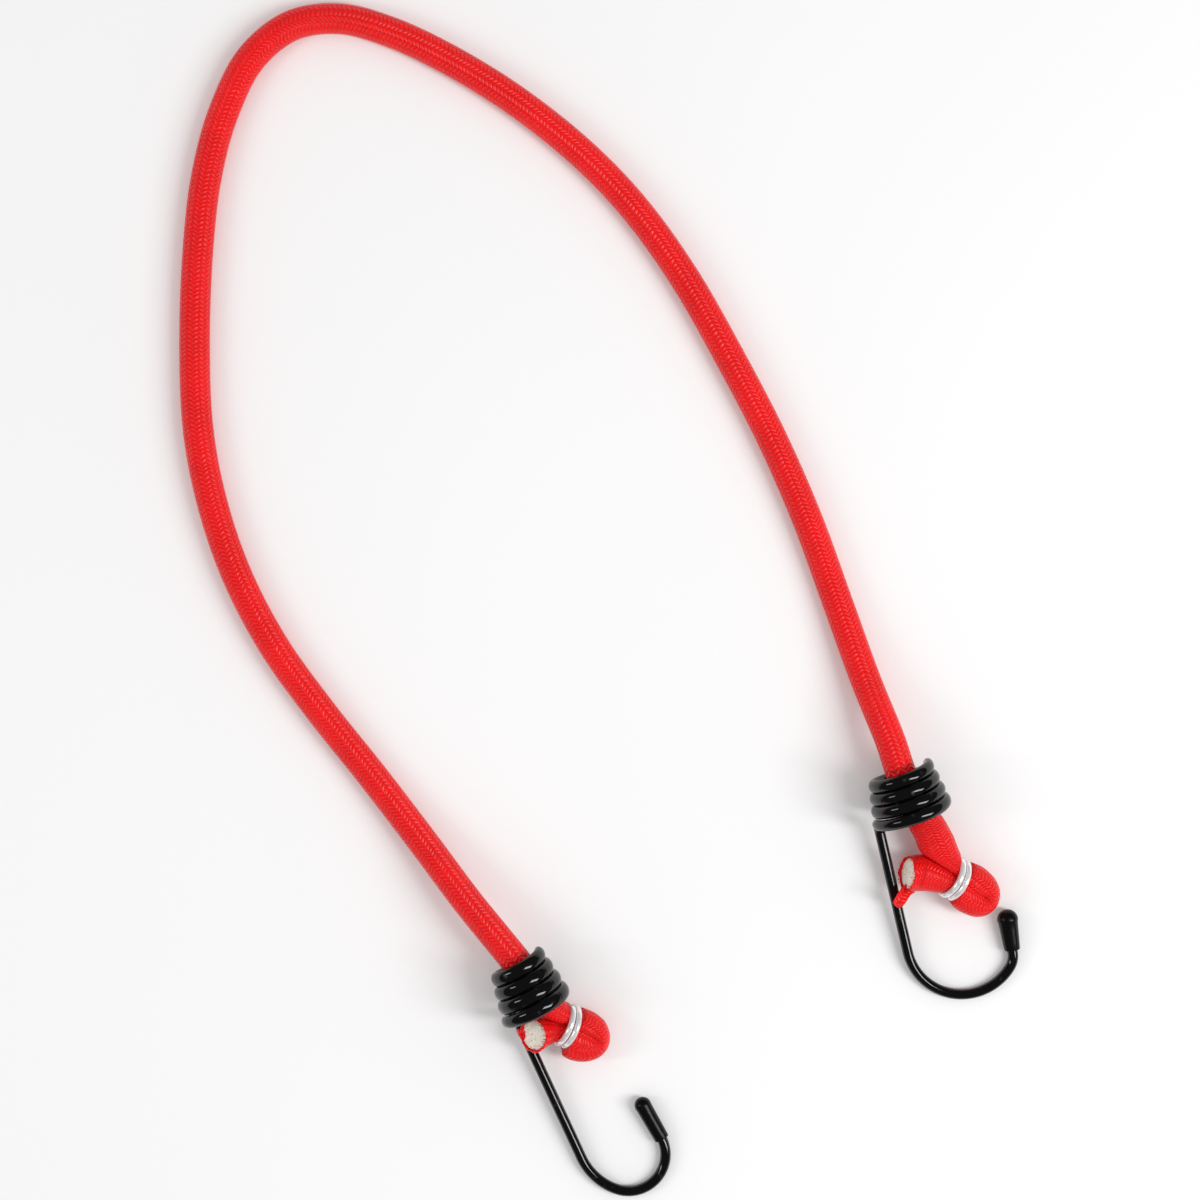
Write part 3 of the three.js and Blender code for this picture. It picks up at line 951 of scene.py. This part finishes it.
@dataclass(frozen=True)
class CordEnd:
    """One folded end of the cord with its clamp ring.

    The ring's own axes are along the fold, across it and up. Each row of edges is a place on the
    way from the coil to the cut face: the outer edge along and across, the inner edge along and
    across, how far the middle lies above the ring's, and the cord's half height. The parting line
    is where the two legs touch, as pairs of along and across. The tongue's rows are its two edges.
    """

    letter: str
    body: Body
    hook: WireHook
    ring_along: float
    ring_across: float
    turn: float
    ring_shift: tuple[float, float]
    ring_tilt: float
    edges: tuple[tuple[float, ...], ...]
    fold_tip: int
    parting: tuple[tuple[float, float], ...]
    tongue: tuple[tuple[float, ...], ...]
    ring_lean: float = 20.0
    ring_turns: float = 1.4
    ring_pitch: float = 2.1
    ring_start: float = 20.0
    ring_rounding: float = 0.25
    ring_steps: int = 60
    ring_sides: int = 20
    waist_half: float = 1.6
    waist_slack: float = 0.07
    waist_flare: float = 2.4
    waist_swell: float = 1.2
    leg_gap: float = 0.01
    leg_fullness: float = 0.5
    fold_fullness: float = 0.12
    round_rows: float = 3.0
    fold_rows: float = 2.5
    stitch_squeeze: float = 1.35
    wall: float = 0.5
    rim: float = 0.55
    rim_flare: float = 0.35
    rim_shares: tuple[float, float] = (0.5, 1.0)
    rim_run: int = 4
    core_inset: float = 0.55
    thread_pitch: float = 0.86
    thread_radius: float = 0.49
    thread_taper: float = 0.93
    thread_length: float = 0.9
    thread_jitter: float = 0.06
    thread_ends: tuple[float, float] = (-0.02, 0.1)
    thread_sides: int = 9
    bundle_share: float = 0.88
    backing_depth: float = 0.05
    backing_reach: float = 0.1
    yarn_count: int = 110
    yarn_length: tuple[float, float] = (0.5, 1.3)
    yarn_root: tuple[float, float] = (0.1, 0.7)
    yarn_flare: tuple[float, float] = (-0.7, 0.5)
    yarn_sway: float = 0.6
    yarn_lift: float = 0.2
    yarn_radii: tuple[float, float] = (0.09, 0.04)
    yarn_sides: int = 5
    tongue_wall: float = 0.55
    tongue_crown: float = 0.25
    tongue_columns: int = 20
    tongue_spacing: float = 0.3
    sides: int = 64
    spacing: float = 0.4

    def placement(self) -> Matrix:
        """Say where the ring's middle lies and which way the fold points.

        Returns:
            The matrix from the ring's own axes to the shared frame, in millimetres.
        """
        along = math.radians(self.hook.heading)
        across = along + math.pi / 2
        x = self.hook.mouth[0] + self.ring_along * math.cos(along) + self.ring_across * math.cos(across)
        y = self.hook.mouth[1] + self.ring_along * math.sin(along) + self.ring_across * math.sin(across)
        heading = Matrix.Rotation(math.radians(self.hook.heading + self.turn), 4, "Z")
        return Matrix.Translation((x, y, RING_HEIGHT)) @ heading

    def in_frame(self, points: np.ndarray) -> np.ndarray:
        """Move points from the ring's own axes to the shared frame."""
        return moved(points, self.placement())

    def ring_stance(self) -> tuple[np.ndarray, np.ndarray]:
        """Say how the ring stands askew on the fold, with its top leaning to the fold's tip.

        Returns:
            The ring's turn as a matrix and its shift, both in the ring's own axes.
        """
        lean = Matrix.Rotation(math.radians(self.ring_lean), 3, "Y")
        turn = Matrix.Rotation(math.radians(self.ring_tilt), 3, "Z") @ lean
        return np.array(turn), np.array((*self.ring_shift, 0.0))

    def stations(self) -> np.ndarray:
        """Lay the cord's rows evenly from inside the coil to the cut face.

        Returns:
            Rows for tube_points, with each row's place in the list of edges as a last column.
        """
        matrix = self.placement().inverted() @ self.hook.placement()
        side = matrix.to_3x3() @ Vector((0.0, CORD_RADIUS, 0.0))
        rows = []
        # Two rows come before the list: one halfway along the coil and one at its mouth.
        for order, along in ((-2.0, -self.hook.coil_length / 2), (-1.0, 0.0)):
            middle = matrix @ Vector(self.hook.neck(along))
            rows.append([*(middle + side), *(middle - side), CORD_RADIUS, order])
        for order, (out_k, out_n, in_k, in_n, rise, half) in enumerate(self.edges):
            rows.append([out_k, out_n, rise, in_k, in_n, rise, half, float(order)])
        return spread(np.array(rows), self.spacing)

    def draw_in(self, points: np.ndarray) -> np.ndarray:
        """Draw the cord in where the ring grips it.

        Args:
            points: The cord's points in the ring's own axes.

        Returns:
            The points, none of them outside the ring's bore where they pass the ring.
        """
        turn, shift = self.ring_stance()
        held = (points - shift) @ turn
        beyond = np.maximum(np.abs(held[..., 0]) - self.waist_half, 0.0)
        bore = RING_RADIUS - RING_WIRE_RADIUS - self.waist_slack
        limit = bore + self.waist_flare * beyond + self.waist_swell * beyond**3
        reach = np.linalg.norm(held[..., 1:], axis=-1)
        held[..., 1:] *= (limit / np.maximum(reach, limit))[..., None]
        return held @ turn.T + shift

    def tube(self) -> np.ndarray:
        """Lay the cord's sections, draw them in at the ring and part the two legs.

        Returns:
            The tube's points in the ring's own axes.
        """
        rows = self.stations()
        order = rows[:, ORDER]
        tip, last = self.fold_tip, len(self.edges) - 1
        coming_in, going_out = [0.0, self.round_rows], [last - self.round_rows, last]
        turning = [*coming_in, tip - self.fold_rows, tip + self.fold_rows, *going_out]
        legs, fold = self.leg_fullness, self.fold_fullness
        fullness = np.interp(order, turning, [1.0, legs, fold, fold, legs, 1.0])
        points = self.draw_in(tube_points(rows, self.sides, fullness))
        along, across = points[..., 0], points[..., 1]
        line = np.array(self.parting)
        parting = np.interp(along, line[:, 0], line[:, 1])
        touching = along < line[-1, 0]
        coming = touching & (order < self.fold_tip)[:, None]
        going = touching & (order >= self.fold_tip)[:, None]
        across = np.where(coming, np.maximum(across, parting + self.leg_gap), across)
        points[..., 1] = np.where(going, np.minimum(across, parting - self.leg_gap), across)
        return points

    def sheath(self) -> bpy.types.Object:
        """Make the folded length of sheath, open and ragged at the cut.

        Returns:
            The sheath, with a live wall.
        """
        points = self.tube()
        last = points[-1]
        forward = last.mean(axis=0) - points[-self.rim_run].mean(axis=0)
        forward /= np.linalg.norm(forward)
        outwards = last - last.mean(axis=0)
        outwards /= np.linalg.norm(outwards, axis=1)[:, None]
        reach = self.rim + ragged(np.linspace(0, 1, self.sides + 1))[:, None]
        shares = np.array(self.rim_shares)[:, None, None]
        lips = last + (forward * shares + outwards * self.rim_flare * shares**2) * reach
        points = np.concatenate((points, lips))
        along = line_lengths(points.mean(axis=1)) * self.stitch_squeeze
        piece = put_in_scene(skin(self.in_frame(points), along), f"folded_sheath_{self.letter}")
        add_wall(piece, self.wall, -1.0)
        return piece

    def cut_face(self) -> CutFace:
        """Find where the cord is cut off.

        Returns:
            The cut face in the shared frame. Its normal points away from the ring.
        """
        last = self.in_frame(self.tube()[-1, :-1])
        middle = Vector(last.mean(axis=0))
        quarter = self.sides // 4
        width = Vector((last[0] - last[2 * quarter]) / 2)
        height = Vector((last[quarter] - last[3 * quarter]) / 2)
        normal = width.cross(height).normalized()
        if normal.dot(middle - self.placement().translation) < 0:
            normal.negate()
        return CutFace(middle, width, height, normal)

    def core(self) -> bpy.types.Object:
        """Make the cut end of the core: a bundle of rubber threads that end a little unevenly.

        Returns:
            The threads and the oval block that they stand in, as one piece.
        """
        cut = self.cut_face()
        draw = random.Random(f"core_{self.letter}")
        made = bmesh.new()
        reach_u = cut.width.length - self.core_inset
        reach_v = cut.height.length - self.core_inset
        u_axis, v_axis = cut.width.normalized(), cut.height.normalized()
        turn = Matrix((u_axis, v_axis, cut.normal)).transposed().to_4x4()
        row_pitch = self.thread_pitch * HONEYCOMB_ROW
        radii = (self.thread_radius, self.thread_radius * self.thread_taper)
        count = math.ceil(max(reach_u, reach_v) / row_pitch)
        for row in range(-count, count + 1):
            for column in range(-count, count + 1):
                u = (column + (row % 2) / 2) * self.thread_pitch + draw.uniform(-1, 1) * self.thread_jitter
                v = row * row_pitch + draw.uniform(-1, 1) * self.thread_jitter
                if (u / reach_u) ** 2 + (v / reach_v) ** 2 > self.bundle_share:
                    continue
                depth = draw.uniform(*self.thread_ends) - self.thread_length / 2
                place = cut.middle + u_axis * u + v_axis * v + cut.normal * depth
                lean = Matrix.Rotation(draw.uniform(-1, 1) * self.thread_jitter, 4, "X")
                add_peg(made, place, turn @ lean, radii, self.thread_length, self.thread_sides)
        block = cut.middle - cut.normal * (self.thread_length / 2 + self.backing_depth)
        oval = Matrix.Diagonal((reach_u + self.backing_reach, reach_v + self.backing_reach, 1.0, 1.0))
        add_peg(made, block, turn @ oval, (1.0, 1.0), self.thread_length, self.sides)
        bmesh.ops.recalc_face_normals(made, faces=made.faces)
        return put_in_scene(made, f"core_threads_{self.letter}", smooth=False)

    def fray(self) -> bpy.types.Object:
        """Make the loose yarn ends that stand round the cut edge of the sheath.

        Returns:
            The yarn ends, as one piece.
        """
        cut = self.cut_face()
        draw = random.Random(f"fray_{self.letter}")
        made = bmesh.new()
        for number in range(self.yarn_count):
            angle = 2 * math.pi * (number + draw.random()) / self.yarn_count
            rim = cut.width * math.cos(angle) + cut.height * math.sin(angle)
            outwards = rim.normalized()
            around = cut.normal.cross(outwards)
            length = draw.uniform(*self.yarn_length)
            sway = draw.uniform(-1, 1) * self.yarn_sway
            heading = cut.normal + outwards * draw.uniform(*self.yarn_flare) + around * sway
            root = cut.middle + rim - outwards * draw.uniform(*self.yarn_root) + cut.normal * self.yarn_lift
            place = root + heading.normalized() * length / 2
            add_peg(made, place, turn_from_z(heading), self.yarn_radii, length, self.yarn_sides)
        return put_in_scene(made, f"frayed_yarn_{self.letter}")

    def flap(self) -> bpy.types.Object:
        """Make the tongue of sheath that the cut has left, lying over the hook's shank.

        Returns:
            The tongue, with a live wall.
        """
        rows = spread(np.array([[*row, 0.0] for row in self.tongue]), self.tongue_spacing)
        shares = np.linspace(0, 1, self.tongue_columns + 1)
        points = rows[:, None, OUTER] * (1 - shares[:, None]) + rows[:, None, INNER] * shares[:, None]
        lengthwise = np.sin(np.linspace(0, math.pi, len(rows)))
        points[..., 2] += self.tongue_crown * np.outer(lengthwise, np.sin(math.pi * shares))
        along = line_lengths(points.mean(axis=1))
        width = np.linalg.norm(rows[:, OUTER] - rows[:, INNER], axis=1).mean()
        turns = float(width / (2 * math.pi * CORD_RADIUS))
        points[-1] += (points[-1] - points[-2]) * (ragged(shares * turns) / self.tongue_spacing)[:, None]
        made = skin(self.in_frame(points), along, turns)
        piece = put_in_scene(made, f"sheath_tongue_{self.letter}")
        add_wall(piece, self.tongue_wall, 0.0)
        return piece

    def ring(self) -> bpy.types.Object:
        """Make the clamp ring, a wire wound a little more than once round both legs.

        Returns:
            The ring.
        """
        steps = round(self.ring_turns * self.ring_steps)
        angles = math.radians(self.ring_start) + np.linspace(0, 2 * math.pi * self.ring_turns, steps + 1)
        along = np.linspace(-0.5, 0.5, steps + 1) * self.ring_turns * self.ring_pitch
        places = np.column_stack((along, RING_RADIUS * np.cos(angles), RING_RADIUS * np.sin(angles)))
        turn, shift = self.ring_stance()
        places = self.in_frame(places @ turn.T + shift)
        axis = np.array(self.placement().to_3x3()) @ turn[:, 0]
        widths = np.full(steps + 1, RING_WIRE_RADIUS)
        rows = wire_rows(places, RING_WIRE_RADIUS, self.ring_rounding, axis, widths)
        made = skin(tube_points(rows, self.ring_sides), line_lengths(middles(rows)), fill=True)
        return put_in_scene(made, f"wire_ring_{self.letter}")

    def build(self) -> list[bpy.types.Object]:
        """Make and dress the end's pieces.

        Returns:
            The pieces.
        """
        sheath, core, fray, flap, ring = self.sheath(), self.core(), self.fray(), self.flap(), self.ring()
        for piece in (sheath, fray, flap):
            SHEATH.dress(piece)
        CORE.dress(core)
        ZINC.dress(ring)
        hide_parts(f"sheath_end_{self.letter}")
        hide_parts(f"core_end_{self.letter}")
        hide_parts(f"clamp_ring_{self.letter}")
        made = [sheath, core, fray, flap, ring]
        for piece in made:
            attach(piece, self.body.value)
        return made


@dataclass(frozen=True)
class FreeCord:
    """The free length of cord between the two coils, as it lies on the floor.

    The route's third number is how far the cord has risen from the floor (0) to the coil (1).
    It also holds the two places on the floor where the cord's stretch starts and ends, which nothing here
    reads.
    """

    hook_a: WireHook
    hook_b: WireHook
    route: tuple[tuple[float, float, float], ...]
    leg_start: int = 15
    coil_shares: tuple[float, ...] = (0.45, 0.75, 1.0)
    sides: int = 48
    spacing: float = 0.8
    stretch_start: tuple[float, float, float] = (-62.7, 168.0, 0.0)
    stretch_end: tuple[float, float, float] = (53.1, 184.0, 0.0)

    def middle_line(self) -> np.ndarray:
        """Join the route to the necks of both coils.

        Returns:
            The chosen points from inside coil A to inside coil B.
        """
        necks = [
            [hook.in_frame(hook.neck(-share * hook.coil_length)) for share in self.coil_shares]
            for hook in (self.hook_a, self.hook_b)
        ]
        floor = CORD_RADIUS - FLOOR_FLAT
        points = []
        for number, (x, y, rise) in enumerate(self.route):
            top = necks[0 if number < self.leg_start else 1][-1][2]
            points.append(np.array((x, y, floor + (top - floor) * rise)))
        return np.array([*necks[0], *points, *necks[1][::-1]])

    def rows(self, line: np.ndarray) -> np.ndarray:
        """Lay level edges on both sides of a line.

        Args:
            line: Points along the cord's middle.

        Returns:
            Rows for tube_points.
        """
        left = np.cross((0.0, 0.0, 1.0), np.gradient(line, axis=0))
        left *= (CORD_RADIUS / np.linalg.norm(left, axis=1))[:, None]
        return np.hstack((line + left, line - left, np.full((len(line), 1), CORD_RADIUS)))

    def build(self) -> list[bpy.types.Object]:
        """Returns:
            The cord, in a list of its own.
        """
        line = middles(spread(self.rows(self.middle_line()), self.spacing))
        along = line_lengths(line)
        made = skin(tube_points(self.rows(line), self.sides), along, fill=True)
        piece = put_in_scene(made, "braided_cord")
        SHEATH.dress(piece)
        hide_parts("sheath_main", "sheath_leg_b", "core_main", "core_leg_b")
        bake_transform(piece)
        LOG.info("free cord length: %.1f mm", along[-1])
        return [piece]


@dataclass(frozen=True)
class Softbox:
    """A soft lamp that faces the middle of the floor."""

    name: str
    place_m: tuple[float, float, float]
    size_m: tuple[float, float]
    watts: float

    def build(self) -> None:
        """Hang the lamp."""
        lamp = bpy.data.lights.new(self.name, "AREA")
        lamp.shape = "RECTANGLE"
        lamp.size, lamp.size_y = self.size_m
        lamp.energy = self.watts
        holder = bpy.data.objects.new(self.name, lamp)
        holder.location = self.place_m
        holder.rotation_euler = (-Vector(self.place_m)).to_track_quat("-Z", "Y").to_euler()
        bpy.context.scene.collection.objects.link(holder)


@dataclass(frozen=True)
class Studio:
    """The pale floor, the camera over the cord and the soft light.

    Gloss mirrors a dimmer sky than the one that lights the cord, as in a studio with a dark
    ceiling, so that enamel stays black between the lamps' lights.
    """

    lamps: tuple[Softbox, ...]
    camera_height_m: float = 0.85
    lens: float = 86.0
    sensor: float = 36.0
    floor_size_m: float = 12.0
    sky_colour: str = "#FFFFFF"
    sky: float = 0.64
    mirrored_sky: float = 0.1

    def build(self) -> None:
        """Make the floor, the camera, the lamps and the sky."""
        bpy.context.scene.view_settings.view_transform = "Standard"
        made = bmesh.new()
        bmesh.ops.create_grid(made, x_segments=1, y_segments=1, size=self.floor_size_m / 2)
        floor = put_in_scene(made, "paper_floor")
        floor.data.materials.append(PAPER.material())
        self.add_camera()
        for lamp in self.lamps:
            lamp.build()
        self.add_sky()

    def add_camera(self) -> None:
        """Look straight down on the middle of the floor."""
        camera = bpy.data.objects.new("camera", bpy.data.cameras.new("camera"))
        camera.data.lens = self.lens
        camera.data.sensor_width = self.sensor
        camera.location = (0.0, 0.0, self.camera_height_m)
        bpy.context.scene.collection.objects.link(camera)
        bpy.context.scene.camera = camera

    def add_sky(self) -> None:
        """Make the even sky, dimmed for gloss."""
        world = bpy.data.worlds.new("studio")
        world.use_nodes = True
        tree = world.node_tree
        tree.nodes.clear()
        gloss = add_node(tree, Kind.LIGHT_PATH).outputs["Is Glossy Ray"]
        levels = {"Value": gloss, "To Min": self.sky, "To Max": self.mirrored_sky}
        strength = add_node(tree, Kind.RANGE, levels)
        light = {"Color": linear(self.sky_colour), "Strength": strength}
        background = add_node(tree, Kind.BACKGROUND, light)
        add_node(tree, Kind.SKY, {"Surface": background})
        bpy.context.scene.world = world


STUDIO = Studio(
    lamps=(
        Softbox("key_softbox", place_m=(0.75, -0.2, 0.86), size_m=(0.26, 0.72), watts=6.8),
        Softbox("fill_softbox", place_m=(-0.8, -0.1, 0.65), size_m=(0.14, 0.4), watts=1.4),
    )
)
HOOK_A = WireHook(
    letter="a",
    body=Body.HOOK_A,
    mouth=(-18.2, -119.5),
    heading=-66.5,
    pitch=3.5,
    narrow_clearance=1.05,
    wide_clearance=3.7,
    turn_gap=1.05,
    exit_angle=28.0,
    splay=-1.0,
    shank=43.6,
    first_radius=18.3,
    first_angle=45.0,
    second_radius=10.9,
    bend_angle=185.0,
    bare_tip=1.0,
    cap_head=5.0,
    cap_overlap=1.7,
    cap_wall=0.35,
)
HOOK_B = WireHook(
    letter="b",
    body=Body.HOOK_B,
    mouth=(91.5, -62.8),
    heading=-73.5,
    pitch=5.6,
    narrow_clearance=2.3,
    wide_clearance=4.7,
    turn_gap=0.6,
    exit_angle=10.0,
    splay=3.0,
    shank=36.6,
    first_radius=16.6,
    first_angle=135.0,
    second_radius=6.5,
    bend_angle=176.0,
    bare_tip=0.9,
    cap_head=6.2,
    neck_clearance=1.6,
)
END_A = CordEnd(
    letter="a",
    body=Body.CORD,
    hook=HOOK_A,
    ring_along=9.3,
    ring_across=6.8,
    turn=32.5,
    ring_shift=(-1.5, -0.6),
    ring_tilt=8.0,
    edges=(
        (-4.6, 4.9, -7.6, -1.6, 2.6, 4.3),
        (-2.6, 5.3, -4.4, -0.9, 1.0, 4.4),
        (-0.3, 6.2, -1.5, -0.7, 0.2, 4.5),
        (2.0, 6.8, 1.0, -1.4, 0.0, 4.5),
        (4.2, 7.0, 3.0, -1.0, -0.1, 4.4),
        (7.6, 6.4, 5.0, -0.2, -0.3, 4.3),
        (11.0, 3.8, 6.8, 1.1, -0.5, 4.2),
        (12.4, 0.6, 7.2, 1.3, -0.6, 4.2),
        (11.9, -3.0, 6.8, 1.5, -0.5, 4.2),
        (9.4, -6.3, 5.2, 2.5, -0.3, 4.3),
        (5.6, -8.4, 3.6, 2.7, -0.1, 4.4),
        (2.0, -8.7, 1.0, 2.2, 0.0, 4.5),
        (-1.0, -7.6, -1.8, 0.8, 0.2, 4.5),
        (-2.9, -8.2, -5.2, -0.6, 0.8, 4.5),
        (-4.1, -10.0, -8.4, -2.2, 2.6, 4.6),
        (-5.2, -11.6, -10.8, -3.5, 5.6, 4.9),
    ),
    fold_tip=7,
    parting=((-14.0, -3.1), (0.0, 0.3), (6.0, 1.2), (7.6, 1.35)),
    tongue=(
        (-9.6, -6.2, 2.6, -4.6, -9.9, 2.6),
        (-11.0, -7.2, 3.0, -5.2, -11.1, 3.0),
        (-12.0, -8.2, 3.15, -6.0, -12.1, 3.15),
        (-12.7, -9.0, 2.7, -6.7, -12.7, 2.7),
        (-13.0, -9.5, 2.1, -7.3, -12.9, 2.1),
    ),
)
END_B = CordEnd(
    letter="b",
    body=Body.END_B,
    hook=HOOK_B,
    ring_along=22.2,
    ring_across=7.8,
    turn=42.9,
    ring_shift=(-1.1, -0.4),
    ring_tilt=1.0,
    edges=(
        (-13.2, 13.2, -20.2, 5.4, 2.6, 4.5),
        (-10.4, 11.7, -17.2, 3.6, 2.1, 4.5),
        (-7.6, 10.0, -14.4, 1.4, 1.6, 4.5),
        (-4.5, 7.6, -11.2, 0.4, 0.9, 4.5),
        (-1.6, 6.0, -5.8, 0.2, 0.3, 4.6),
        (0.5, 6.0, -1.5, -0.3, 0.1, 4.6),
        (2.4, 6.4, 1.0, -1.4, 0.0, 4.5),
        (5.4, 6.5, 4.0, -2.2, -0.1, 4.4),
        (9.8, 5.3, 6.6, -2.1, -0.3, 4.3),
        (12.9, 2.7, 8.5, -0.8, -0.5, 4.2),
        (14.1, -1.0, 9.1, -0.6, -0.6, 4.2),
        (13.1, -4.6, 8.5, -0.5, -0.5, 4.2),
        (10.6, -7.0, 6.8, 0.9, -0.3, 4.3),
        (6.8, -8.0, 4.6, 1.5, -0.1, 4.4),
        (3.0, -7.9, 1.5, 1.7, 0.0, 4.5),
        (-0.5, -6.3, -2.0, 1.3, 0.0, 4.6),
        (-5.6, -7.8, -7.2, 1.3, 0.0, 4.5),
        (-8.9, -9.6, -12.2, 0.9, 0.2, 4.5),
        (-11.2, -10.8, -15.4, -1.4, 1.6, 4.6),
    ),
    fold_tip=10,
    parting=((-20.0, 0.9), (-12.6, 0.95), (0.0, 0.6), (6.2, -0.8), (9.5, -0.6)),
    tongue=(
        (-8.9, -10.15, 0.2, -12.1, -8.45, 0.2),
        (-9.8, -11.4, 1.6, -12.9, -10.2, 1.6),
        (-10.1, -12.9, 3.1, -13.4, -12.0, 3.1),
        (-10.2, -14.3, 3.5, -13.5, -13.7, 3.5),
        (-10.4, -15.4, 3.2, -13.4, -15.1, 3.2),
        (-10.7, -16.0, 2.5, -13.1, -15.9, 2.5),
    ),
)
FREE_ROUTE = (
    (-38.7, -88.4, 0.7),
    (-51.5, -72.0, 0.25),
    (-67.1, -52.0, 0.0),
    (-82.5, -32.7, 0.0),
    (-96.3, -13.5, 0.0),
    (-107.2, 7.3, 0.0),
    (-114.5, 28.7, 0.0),
    (-118.6, 50.0, 0.0),
    (-119.7, 75.0, 0.0),
    (-118.7, 103.5, 0.0),
    (-116.2, 125.0, 0.0),
    (-111.3, 143.5, 0.0),
    (-103.0, 160.0, 0.0),
    (-91.0, 169.6, 0.0),
    (-77.0, 171.6, 0.0),
    (-62.7, 168.0, 0.0),
    (-45.4, 160.0, 0.0),
    (-24.6, 147.2, 0.0),
    (-4.4, 131.0, 0.0),
    (10.6, 115.2, 0.0),
    (24.9, 95.2, 0.0),
    (38.9, 70.6, 0.0),
    (51.0, 47.2, 0.0),
    (61.3, 23.6, 0.0),
    (69.9, 0.0, 0.0),
    (78.2, -23.6, 0.3),
    (84.8, -41.0, 0.85),
)


def main() -> None:
    """Build the studio and the bungee cord's pieces."""
    logging.basicConfig(level=logging.INFO, format="%(name)s: %(message)s")
    STUDIO.build()
    pieces = FreeCord(HOOK_A, HOOK_B, FREE_ROUTE).build()
    for assembly in (HOOK_A, HOOK_B, END_A, END_B):
        pieces += assembly.build()
    for piece in pieces:
        LOG.info("%s: %d faces", piece.name, len(piece.data.polygons))


if __name__ == "__main__":
    main()
